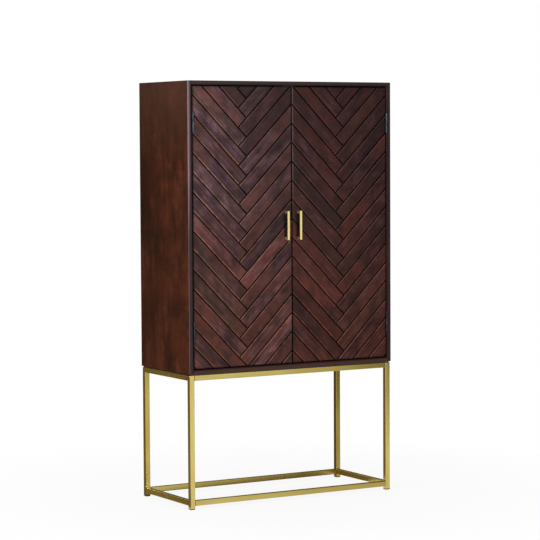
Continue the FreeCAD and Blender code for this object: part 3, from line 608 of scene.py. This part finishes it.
def sharpEdges(shape, least):  # outer and inner corners of a bar
    return [
        edge for edge in shape.edges
        if edge.calc_length() > least and len(edge.link_faces) == 2
        and edge.calc_face_angle(0.0) > shaping["sharp"]
    ]


def easedMesh(name, shape, edges, ease, steps):
    bmesh.ops.bevel(shape, geom=edges, offset=ease, offset_type="OFFSET", segments=steps, profile=0.5,
                    affect="EDGES", clamp_overlap=False)
    mesh = bpy.data.meshes.new(name)
    shape.to_mesh(mesh)
    shape.free()
    return mesh


# case boards

boardSteps = 3
caseBoards = {
    "caseSideLeft": {"node": "case_side_left", "ease": 2.2 * mm, "finish": sideWood},
    "caseSideRight": {"node": "case_side_right", "ease": 2.2 * mm, "finish": sideWood},
    "caseTop": {"node": "case_top", "ease": 0.8 * mm, "finish": topWood},
    "caseBottom": {"node": "case_bottom", "ease": 0.8 * mm, "finish": bottomWood},
    "shelfLower": {"node": "shelf_lower", "ease": 1.2 * mm, "finish": shelfWood},
    "shelfUpper": {"node": "shelf_upper", "ease": 1.2 * mm, "finish": shelfWood},
}
for name, board in caseBoards.items():
    shape = weldedCopy(board["node"])
    mesh = easedMesh(name, shape, boxEdges(shape, board["node"]), board["ease"], boardSteps)
    evenShading(addPiece(name, mesh, board["finish"], "cabinet", [board["node"]]))
print("case boards:", len(caseBoards))


# doors

doorPanel = {"ease": 0.6 * mm, "steps": 2}
doorHandle = {"ease": 0.9 * mm, "steps": 3, "least": 5 * mm}
for side in ("left", "right"):
    node, body = "door_panel_" + side, "door_" + side
    shape = weldedCopy(node)
    mesh = easedMesh("doorPanel", shape, boxEdges(shape, node), doorPanel["ease"], doorPanel["steps"])
    evenShading(addPiece("doorPanel" + side.title(), mesh, panelWood, body, [node]))
    node = "handle_" + side
    shape = weldedCopy(node)
    edges = sharpEdges(shape, doorHandle["least"])
    mesh = easedMesh("handle", shape, edges, doorHandle["ease"], doorHandle["steps"])
    evenShading(addPiece("handle" + side.title(), mesh, handleBrass, body, [node]))
print("door panels and handles")

slats = {
    "width": 47 * mm, "thick": 8 * mm, "length": 430 * mm,
    "ease": 2.6 * mm, "easeSteps": 3, "doorEase": 2.2 * mm,
    "rows": 22, "step": 72.125 * mm, "firstZ": 1570 * mm,
    "columnOuter": 233.53 * mm, "columnInner": 197.47 * mm,  # where a door's two fields meet
    "offcut": 900e-6,  # the least surface of a piece that is kept, in square metres
    "tilt": math.radians(0.35), "spare": 1 * mm, "atFront": 0.1 * mm,
    "toneSeed": 101.0, "tintSeed": 202.0, "grainSeed": 303.0, "grainShift": 9.0,
}
slatGap = slatPitch - slats["width"]


def blockShape(middle, size):
    shape = bmesh.new()
    place = Matrix.Translation(middle) @ Matrix.Diagonal(size).to_4x4()
    bmesh.ops.create_cube(shape, size=1.0, matrix=place)
    return shape


def frontEdges(shape, level):
    limit = level + slats["atFront"]
    return [edge for edge in shape.edges if all(vert.co.y < limit for vert in edge.verts)]


def makeBlank():  # one slat with its front edges eased, at the origin
    size = Vector((slats["length"], slats["thick"], slats["width"]))
    middle = size / 2 + Vector((slatGap / 2, 0, slatGap / 2))
    shape = blockShape(middle, size)
    mesh = easedMesh("slatBlank", shape, frontEdges(shape, 0.0), slats["ease"], slats["easeSteps"])
    return addHelper("slatBlank", mesh)


def makeWindow(side):  # the door's outline, with its front edges eased
    left, right = sorted((side * doorNear, side * doorFar))
    startY = slatFaceY - slats["spare"]
    endY = slatFaceY + slats["thick"] + slats["spare"]
    low, high = Vector((left, startY, doorLow)), Vector((right, endY, doorHigh))
    shape = blockShape((low + high) / 2, high - low)
    ease = slats["doorEase"] + slats["spare"]
    return addHelper("doorWindow", easedMesh("doorWindow", shape, frontEdges(shape, startY), ease, 1))


def openTree(name, sockets):
    tree = bpy.data.node_groups.new(name, "GeometryNodeTree")
    tree.interface.new_socket("Geometry", in_out="OUTPUT", socket_type="NodeSocketGeometry")
    for label, kind in sockets.items():
        tree.interface.new_socket(label, in_out="INPUT", socket_type="NodeSocket" + kind)
    return tree, tree.nodes.new("NodeGroupInput").outputs


def closeTree(tree, shape, finish):
    whole = addNode(tree, "GeometryNodeRealizeInstances", {"Geometry": shape}).outputs[0]
    painted = addNode(tree, "GeometryNodeSetMaterial", {"Geometry": whole, "Material": finish}).outputs[0]
    tree.links.new(painted, tree.nodes.new("NodeGroupOutput").inputs[0])


def store(tree, shape, name, value, kind="FLOAT", domain="FACE"):
    made = addNode(tree, "GeometryNodeStoreNamedAttribute", {"Geometry": shape, "Name": name},
                   data_type=kind, domain=domain)
    feed(tree, made.inputs["Value"], value)
    return made.outputs[0]


def stored(tree, name, kind="FLOAT"):
    return addNode(tree, "GeometryNodeInputNamedAttribute", {"Name": name}, data_type=kind).outputs[0]


def chance(tree, ident, seed, low=0.0, high=1.0):
    made = addNode(tree, "FunctionNodeRandomValue", {2: low, 3: high}, data_type="FLOAT")
    feed(tree, made.inputs["ID"], ident)
    feed(tree, made.inputs["Seed"], seed)
    return made.outputs[1]


def turned(tree, x, y, z):
    return addNode(tree, "FunctionNodeEulerToRotation", {0: joinXyz(tree, x, y, z)}).outputs[0]


def lentMesh(tree, helper):
    return addNode(tree, "GeometryNodeObjectInfo", {"Object": helper}).outputs["Geometry"]


def copiesOn(tree, points, shape, rotation):
    settings = {"Points": points, "Instance": shape, "Rotation": rotation}
    return addNode(tree, "GeometryNodeInstanceOnPoints", settings).outputs[0]


def rotated(tree, copies, rotation):
    settings = {"Instances": copies, "Rotation": rotation}
    return addNode(tree, "GeometryNodeRotateInstances", settings).outputs[0]


def withoutOffcuts(tree, shape, least):  # slivers at the door's edge would not be fitted
    island = addNode(tree, "GeometryNodeInputMeshIsland").outputs["Island Index"]
    area = addNode(tree, "GeometryNodeInputMeshFaceArea").outputs[0]
    total = addNode(tree, "GeometryNodeAccumulateField", {"Value": area, "Group ID": island},
                    data_type="FLOAT", domain="FACE").outputs["Total"]
    small = addNode(tree, "FunctionNodeCompare", {0: total, 1: least},
                    data_type="FLOAT", operation="LESS_THAN").outputs[0]
    settings = {"Geometry": shape, "Selection": small}
    return addNode(tree, "GeometryNodeDeleteGeometry", settings, domain="FACE").outputs[0]


def slatTree():
    tree, given = openTree("slatField", {
        "Blank": "Object", "Window": "Object", "First Corner": "Vector", "Row Step": "Float", "Rows": "Int",
        "Lean": "Float", "Pitch": "Float", "Tilt": "Float", "Offcut": "Float", "Palest": "Float",
        "Seed": "Int", "Finish": "Material",
    })
    corner, lean, seed = given["First Corner"], given["Lean"], given["Seed"]
    drop = joinXyz(tree, 0.0, 0.0, calc(tree, "MULTIPLY", given["Row Step"], -1.0))
    column = {"Count": given["Rows"], "Start Location": corner, "Offset": drop}
    line = addNode(tree, "GeometryNodeMeshLine", column).outputs[0]
    rows = copiesOn(tree, line, lentMesh(tree, given["Blank"]), turned(tree, 0.0, lean, 0.0))
    number = addNode(tree, "GeometryNodeInputIndex").outputs[0]
    tilt = calc(tree, "MULTIPLY", chance(tree, number, seed, -1.0, 1.0), given["Tilt"])
    rocked = rotated(tree, rows, turned(tree, tilt, 0.0, 0.0))
    laid = addNode(tree, "GeometryNodeRealizeInstances", {"Geometry": rocked}).outputs[0]
    trim = addNode(tree, "GeometryNodeMeshBoolean", operation="INTERSECT", solver="EXACT")
    tree.links.new(laid, trim.inputs["Mesh 2"])
    tree.links.new(lentMesh(tree, given["Window"]), trim.inputs["Mesh 2"])
    kept = withoutOffcuts(tree, trim.outputs["Mesh"], given["Offcut"])
    spot = vecCalc(tree, "SUBTRACT", addNode(tree, "GeometryNodeInputPosition").outputs[0], corner)
    cosine, sine = calc(tree, "COSINE", lean), calc(tree, "SINE", lean)
    alongWay = joinXyz(tree, cosine, 0.0, calc(tree, "MULTIPLY", sine, -1.0))
    along = vecCalc(tree, "DOT_PRODUCT", spot, alongWay)
    across = vecCalc(tree, "DOT_PRODUCT", spot, joinXyz(tree, sine, 0.0, cosine))
    row = calc(tree, "FLOOR", calc(tree, "DIVIDE", across, given["Pitch"]))
    numbered = store(tree, kept, "slatRow", row)
    own = stored(tree, "slatRow")
    toneSeed = calc(tree, "ADD", seed, slats["toneSeed"])
    toned = store(tree, numbered, "slatTone", chance(tree, own, toneSeed, 0.0, given["Palest"]))
    tintSeed = calc(tree, "ADD", seed, slats["tintSeed"])
    tinted = store(tree, toned, "slatTint", chance(tree, own, tintSeed))
    grainSeed = calc(tree, "ADD", seed, slats["grainSeed"])
    offset = calc(tree, "MULTIPLY", chance(tree, own, grainSeed), slats["grainShift"])
    ownAcross = calc(tree, "SUBTRACT", across, calc(tree, "MULTIPLY", own, given["Pitch"]))
    grain = joinXyz(tree, calc(tree, "ADD", along, offset), ownAcross, splitXyz(tree, spot)["Y"])
    mapped = store(tree, tinted, "grainPlace", grain, "FLOAT_VECTOR", "POINT")
    closeTree(tree, mapped, given["Finish"])
    return tree


def plainMesh(carrier, tree, values):  # runs a tree on an object and keeps its result as a mesh
    run = carrier.modifiers.new(tree.name, "NODES")
    run.node_group = tree
    for socket in tree.interface.items_tree:
        if socket.in_out == "INPUT" and socket.name in values:
            run[socket.identifier] = values[socket.name]
    carrier.update_tag()
    graph = bpy.context.evaluated_depsgraph_get()
    mesh = bpy.data.meshes.new_from_object(carrier.evaluated_get(graph))
    carrier.modifiers.remove(run)
    return mesh


def emptyCarrier(name):
    return addHelper(name, bpy.data.meshes.new(name))


leftDoor = {"side": -1, "body": "door_left", "palest": 1.0, "column": "columnInner", "drop": 0.5}
# the right door's slats keep only the darker half of the tone range: painted shade
rightDoor = {"side": 1, "body": "door_right", "palest": 0.5, "column": "columnOuter", "drop": 0.0}
slatFields = {
    "slatsLeftOuter": {"node": "slats_left_outer", **leftDoor, "lean": -135, "seed": 11},
    "slatsLeftInner": {"node": "slats_left_inner", **leftDoor, "lean": -45, "seed": 23},
    "slatsRightOuter": {"node": "slats_right_outer", **rightDoor, "lean": -45, "seed": 37},
    "slatsRightInner": {"node": "slats_right_inner", **rightDoor, "lean": -135, "seed": 51},
}
fieldTree = slatTree()
slatBlank = makeBlank()
for name, field in slatFields.items():
    window = makeWindow(field["side"])
    cornerZ = slats["firstZ"] - field["drop"] * slats["step"] + slats["step"]
    corner = (field["side"] * slats[field["column"]], slatFaceY, cornerZ)
    carrier = emptyCarrier(name + "Carrier")
    mesh = plainMesh(carrier, fieldTree, {
        "Blank": slatBlank, "Window": window, "First Corner": corner, "Row Step": slats["step"],
        "Rows": slats["rows"], "Lean": math.radians(field["lean"]), "Pitch": slatPitch,
        "Tilt": slats["tilt"], "Offcut": slats["offcut"], "Palest": field["palest"],
        "Seed": field["seed"], "Finish": slatWood,
    })
    mesh.name = name
    bpy.data.objects.remove(carrier)
    bpy.data.objects.remove(window)
    evenShading(addPiece(name, mesh, slatWood, field["body"], [field["node"]]))
    print(name, len(mesh.polygons), "faces")
bpy.data.objects.remove(slatBlank)


# screws

def looseBoxes(node):  # the box of each solid in a node
    shape = weldedShape(node)
    left = set(shape.verts)
    boxes = []
    while left:
        group, edgeOfGroup = set(), [left.pop()]
        while edgeOfGroup:
            vert = edgeOfGroup.pop()
            group.add(vert)
            for edge in vert.link_edges:
                other = edge.other_vert(vert)
                if other in left:
                    left.discard(other)
                    edgeOfGroup.append(other)
        low = Vector([min(vert.co[axis] for vert in group) for axis in range(3)])
        high = Vector([max(vert.co[axis] for vert in group) for axis in range(3)])
        boxes.append((low, high))
    shape.free()
    return sorted(boxes, key=lambda box: tuple(round(value, 5) for value in box[0]))


screwShape = {  # shares of the head, of how deep it sits and of the shank
    "round": 20, "slotWide": 0.17, "slotLong": 0.6, "slotTaper": 0.5, "slotDeep": 0.55,
    "domeFace": 0.62, "domeWide": 0.86, "domeSlope": 0.16, "domeRim": 0.5, "flatRim": 0.12,
    "tipLong": 1.4, "tipRound": 0.45,
}


def screwRings(kit, length):  # radius and level of each ring, from the head's face to the point
    head, sink, shank = kit["head"], kit["sink"], kit["shank"]
    if kit["domed"]:
        rings = [
            (screwShape["domeFace"] * head, 0.0),
            (screwShape["domeWide"] * head, -screwShape["domeSlope"] * sink),
            (head, -screwShape["domeRim"] * sink), (head, -sink),
        ]
    else:
        rings = [(head, 0.0), (head, -screwShape["flatRim"] * sink)]
    tipLevel = -(length - screwShape["tipLong"] * shank)
    return rings + [(shank, -sink), (shank, tipLevel), (screwShape["tipRound"] * shank, -length)]


def makeScrew(kit, length):  # its head's face is at the origin and its point below
    shape = bmesh.new()
    count = screwShape["round"]
    rings = screwRings(kit, length)
    turns = [2 * math.pi * step / count for step in range(count)]
    loops = []
    for radius, level in rings:
        loops.append([shape.verts.new((radius * math.cos(a), radius * math.sin(a), level)) for a in turns])
    for upper, lower in zip(loops, loops[1:]):
        for step in range(count):
            after = (step + 1) % count
            shape.faces.new((upper[step], lower[step], lower[after], upper[after]))
    shape.faces.new(list(reversed(loops[-1])))
    wide = screwShape["slotWide"] * kit["head"]
    long = screwShape["slotLong"] * rings[0][0]
    outline = []
    for quarter in range(4):
        arm = Matrix.Rotation(math.pi / 2 * quarter, 3, "Z")
        for x, y in ((long, -wide), (long, wide), (wide, wide)):
            outline.append(arm @ Vector((x, y, 0)))
    rim = [shape.verts.new(point) for point in outline]
    floorLevel = Vector((0, 0, -screwShape["slotDeep"] * kit["head"]))
    deep = [shape.verts.new(point * screwShape["slotTaper"] + floorLevel) for point in outline]
    rimEdges = []
    for step in range(len(rim)):
        after = (step + 1) % len(rim)
        shape.faces.new((rim[after], rim[step], deep[step], deep[after]))
        rimEdges.append(shape.edges.get((rim[step], rim[after])))
    shape.faces.new(deep)
    faceEdges = [shape.edges.get((loops[0][step], loops[0][(step + 1) % count])) for step in range(count)]
    bmesh.ops.triangle_fill(shape, edges=faceEdges + rimEdges, use_beauty=True, normal=(0, 0, 1))
    bmesh.ops.recalc_face_normals(shape, faces=shape.faces)
    mesh = bpy.data.meshes.new("screwBlank")
    shape.to_mesh(mesh)
    shape.free()
    return addHelper("screwBlank", mesh)


def screwTree():
    tree, given = openTree("screwSet", {
        "Places": "Geometry", "Screw": "Object", "Seed": "Int", "Finish": "Material",
    })
    facing = stored(tree, "facing", "FLOAT_VECTOR")
    turn = addNode(tree, "FunctionNodeAlignRotationToVector", {"Vector": facing}, axis="Z").outputs[0]
    heads = copiesOn(tree, given["Places"], lentMesh(tree, given["Screw"]), turn)
    number = addNode(tree, "GeometryNodeInputIndex").outputs[0]
    spin = chance(tree, number, given["Seed"], 0.0, math.pi)
    closeTree(tree, rotated(tree, heads, turned(tree, 0.0, 0.0, spin)), given["Finish"])
    return tree


toBack, down, toRight, toLeft = (0, 1, 0), (0, 0, -1), (1, 0, 0), (-1, 0, 0)  # the way a head faces
woodScrew = {"head": 2.8 * mm, "shank": 1.5 * mm, "sink": 2 * mm, "domed": False}
leafScrew = {**woodScrew, "sink": 1.3 * mm}
plateScrew = {**woodScrew, "sink": 1.2 * mm}
handleScrew = {"head": 4 * mm, "shank": 2 * mm, "sink": 2.4 * mm, "domed": True}
standScrew = {"head": 5.5 * mm, "shank": 3 * mm, "sink": 3 * mm, "domed": True}
screwSets = {
    "backScrews": {"node": "back_panel_screws", "body": "cabinet", "facing": toBack, **woodScrew},
    "catchScrews": {"node": "catch_screws", "body": "cabinet", "facing": down, **woodScrew},
    "caseHingeScrews": {"node": "hinge_case_screws", "body": "cabinet", "facing": toRight, **leafScrew},
}
doorScrews = {
    "doorHingeScrews": {"node": "hinge_door_screws_", "facing": toLeft, **leafScrew},
    "strikeScrew": {"node": "strike_screw_", "facing": toBack, **plateScrew},
    "handleScrews": {"node": "handle_screws_", "facing": toBack, **handleScrew},
}
for name, kit in doorScrews.items():
    for side in ("left", "right"):
        screwSets[name + side.title()] = {**kit, "node": kit["node"] + side, "body": "door_" + side}
screwSets["standScrews"] = {"node": "stand_screws", "body": "cabinet", "facing": down, **standScrew}
firstSeed = 70
driveTree = screwTree()
for number, (name, kit) in enumerate(screwSets.items()):
    points, ways, length = [], [], 0.0
    for low, high in looseBoxes(kit["node"]):
        way = Vector(kit["facing"])
        if way.x and low.x > 0:  # hinges on the right side are mirrored
            way = -way
        middle, half = (low + high) / 2, (high - low) / 2
        reach = sum(abs(way[axis]) * half[axis] for axis in range(3))
        points.append(middle + way * reach)
        ways.append(way)
        length = 2 * reach
    carrier = emptyCarrier(name + "Carrier")
    carrier.data.from_pydata(points, [], [])
    facing = carrier.data.attributes.new("facing", "FLOAT_VECTOR", "POINT")
    for item, way in zip(facing.data, ways):
        item.vector = way
    blank = makeScrew(kit, length)
    mesh = plainMesh(carrier, driveTree, {"Screw": blank, "Seed": firstSeed + number, "Finish": screwSteel})
    mesh.name = name
    bpy.data.objects.remove(carrier)
    bpy.data.objects.remove(blank)
    evenShading(addPiece(name, mesh, screwSteel, kit["body"], [kit["node"]]))
    print(name, len(points), "screws")


# the nodes that keep their own shape

keptFinishes = {
    "back_panel": backBoard, "case_dowels": dowelWood, "shelf_supports": screwSteel,
    "magnet_catch": blackPlastic, "spacer_pads": blackPlastic,
    "strike_plate_left": hingeSteel, "strike_plate_right": hingeSteel,
}
for end in ("front", "back"):
    for side in ("left", "right"):
        keptFinishes["leg_" + end + "_" + side] = brassUp if end == "front" else shadedBackBrass[side]
        keptFinishes["glide_" + end + "_" + side] = blackPlastic
for level in ("upper", "lower"):
    for side in ("front", "back"):
        keptFinishes[level + "_rail_" + side] = brassWide
    for side in ("left", "right"):
        keptFinishes[level + "_rail_" + side] = brassDeep
        for part in ("hinge_case_leaf_", "hinge_door_leaf_", "hinge_pin_"):
            keptFinishes[part + side + "_" + level] = hingeSteel
for node, finish in keptFinishes.items():
    nodes[node].data.materials.clear()
    nodes[node].data.materials.append(finish)
plain = [node for node in nodes if node not in keptFinishes and not nodes[node].hide_render]
print("kept nodes:", len(keptFinishes), "without a finish:", plain)


# floor, light and camera

def seenShare(tree):  # 1 where the eye, a reflection or a view through glass looks at it
    path = addNode(tree, "ShaderNodeLightPath").outputs
    mirrored = calc(tree, "MAXIMUM", path["Is Glossy Ray"], path["Is Transmission Ray"])
    return calc(tree, "MAXIMUM", path["Is Camera Ray"], mirrored)


studio = {
    "ambient": 0.27, "white": (1, 1, 1, 1), "floorHalf": 14.0, "floorTone": (0.9, 0.9, 0.9, 1),
    "floorGlow": 0.88, "shadowNear": 0.6, "shadowFar": 1.6,
}
world = bpy.data.worlds.new("studio")
scene.world = world
world.use_nodes = True
worldTree = world.node_tree
worldTree.nodes.clear()
strength = remap(worldTree, seenShare(worldTree), 0.0, 1.0, studio["ambient"], 1.0)
sky = addNode(worldTree, "ShaderNodeBackground", {"Color": studio["white"], "Strength": strength})
worldOut = addNode(worldTree, "ShaderNodeOutputWorld")
worldTree.links.new(sky.outputs[0], worldOut.inputs["Surface"])


def flatSheet(name, corners):
    mesh = bpy.data.meshes.new(name)
    mesh.from_pydata(corners, [], [range(len(corners))])
    sheet = bpy.data.objects.new(name, mesh)
    scene.collection.objects.link(sheet)
    return sheet


half = studio["floorHalf"]
floor = flatSheet("floor", [(-half, -half, 0), (half, -half, 0), (half, half, 0), (-half, half, 0)])
paper = bpy.data.materials.new("paper")
paper.use_nodes = True
paperTree = paper.node_tree
paperTree.nodes.clear()
matte = addNode(paperTree, "ShaderNodeBsdfDiffuse", {"Color": studio["floorTone"]})
glow = addNode(paperTree, "ShaderNodeEmission", {"Color": studio["white"], "Strength": 1.0})
away = addNode(paperTree, "ShaderNodeVectorMath", {0: objectSpot(paperTree)}, operation="LENGTH")
glowShare = remap(paperTree, away.outputs["Value"], studio["shadowNear"], studio["shadowFar"],
                  studio["floorGlow"], 1.0)
share = calc(paperTree, "MULTIPLY", seenShare(paperTree), glowShare)
blend = addNode(paperTree, "ShaderNodeMixShader", {0: share, 1: matte.outputs[0], 2: glow.outputs[0]})
paperOut = addNode(paperTree, "ShaderNodeOutputMaterial")
paperTree.links.new(blend.outputs[0], paperOut.inputs["Surface"])
floor.data.materials.append(paper)


def wall(start, end, height):
    return [(*start, 0.0), (*end, 0.0), (*end, height), (*start, height)]


darkFelt, warmFelt, paleFelt = (0.10, 0.08, 0.06, 1), (0.22, 0.17, 0.09, 1), (0.31, 0.24, 0.13, 1)
footLevel = 4 * mm
footOutline = [
    (0.42, 0.0), (-0.46, 0.14), (-0.46, -0.5), (-3.6, -0.5), (-3.6, 0.4), (0.2, 2.9), (0.42, 0.6),
]
darkCards = {  # seen in reflections alone
    "cardBack": {"felt": warmFelt, "corners": wall((-3.6, 0.4), (0.2, 2.9), 3.4)},
    "cardFoot": {"felt": paleFelt, "corners": [(x, y, footLevel) for x, y in footOutline]},
    "cardFront": {"felt": darkFelt, "corners": wall((1.5, -2.0), (3.2, -1.2), 3.0)},
    "cardRight": {"felt": warmFelt, "corners": wall((2.2, -0.8), (2.2, 6.0), 3.4)},
}
for name, sheet in darkCards.items():
    felt = bpy.data.materials.new(name)
    felt.use_nodes = True
    feltShader = felt.node_tree.nodes["Principled BSDF"]
    feltShader.inputs["Base Color"].default_value = sheet["felt"]
    feltShader.inputs["Roughness"].default_value = 1.0
    feltShader.inputs["Specular IOR Level"].default_value = 0.0
    card = flatSheet(name, sheet["corners"])
    card.data.materials.append(felt)
    card.visible_camera = False
    card.visible_diffuse = False
    card.visible_shadow = False
    card.visible_transmission = False

softBoxes = {
    "keyBox": {"place": (0.1, -5.0, 1.7), "size": 0.8, "power": 109},
    "sideBox": {"place": (-4.4, -1.3, 2.2), "size": 1.4, "power": 110},
    "topBox": {"place": (0.2, 0.4, 4.2), "size": 3.0, "power": 60},
}
aim = Vector((0, 0, 0.9))
for name, box in softBoxes.items():
    lamp = bpy.data.lights.new(name, "AREA")
    lamp.shape = "SQUARE"
    lamp.size = box["size"]
    lamp.energy = box["power"]
    holder = bpy.data.objects.new(name, lamp)
    holder.location = box["place"]
    holder.rotation_euler = (aim - Vector(box["place"])).to_track_quat("-Z", "Y").to_euler()
    scene.collection.objects.link(holder)

viewPoint = {
    "place": (-4.1845, -7.0979, 1.3719), "yaw": 30.577, "down": 3.457, "roll": 0.309,
    "lens": 141.5, "sensor": 36,
}
yaw, dip, roll = (math.radians(viewPoint[key]) for key in ("yaw", "down", "roll"))
ahead = Vector((math.sin(yaw) * math.cos(dip), math.cos(yaw) * math.cos(dip), -math.sin(dip)))
level = Vector((math.cos(yaw), -math.sin(yaw), 0))
under = ahead.cross(level)
right = math.cos(roll) * level + math.sin(roll) * under
up = -(math.cos(roll) * under - math.sin(roll) * level)
camera = bpy.data.objects.new("camera", bpy.data.cameras.new("camera"))
camera.data.lens = viewPoint["lens"]
camera.data.sensor_width = viewPoint["sensor"]
cameraTurn = Matrix((right, up, -ahead)).transposed().to_4x4()
camera.matrix_world = Matrix.Translation(viewPoint["place"]) @ cameraTurn
scene.collection.objects.link(camera)
scene.camera = camera
scene.view_settings.view_transform = "Standard"
print("floor,", len(darkCards), "cards,", len(softBoxes), "lamps and the camera")
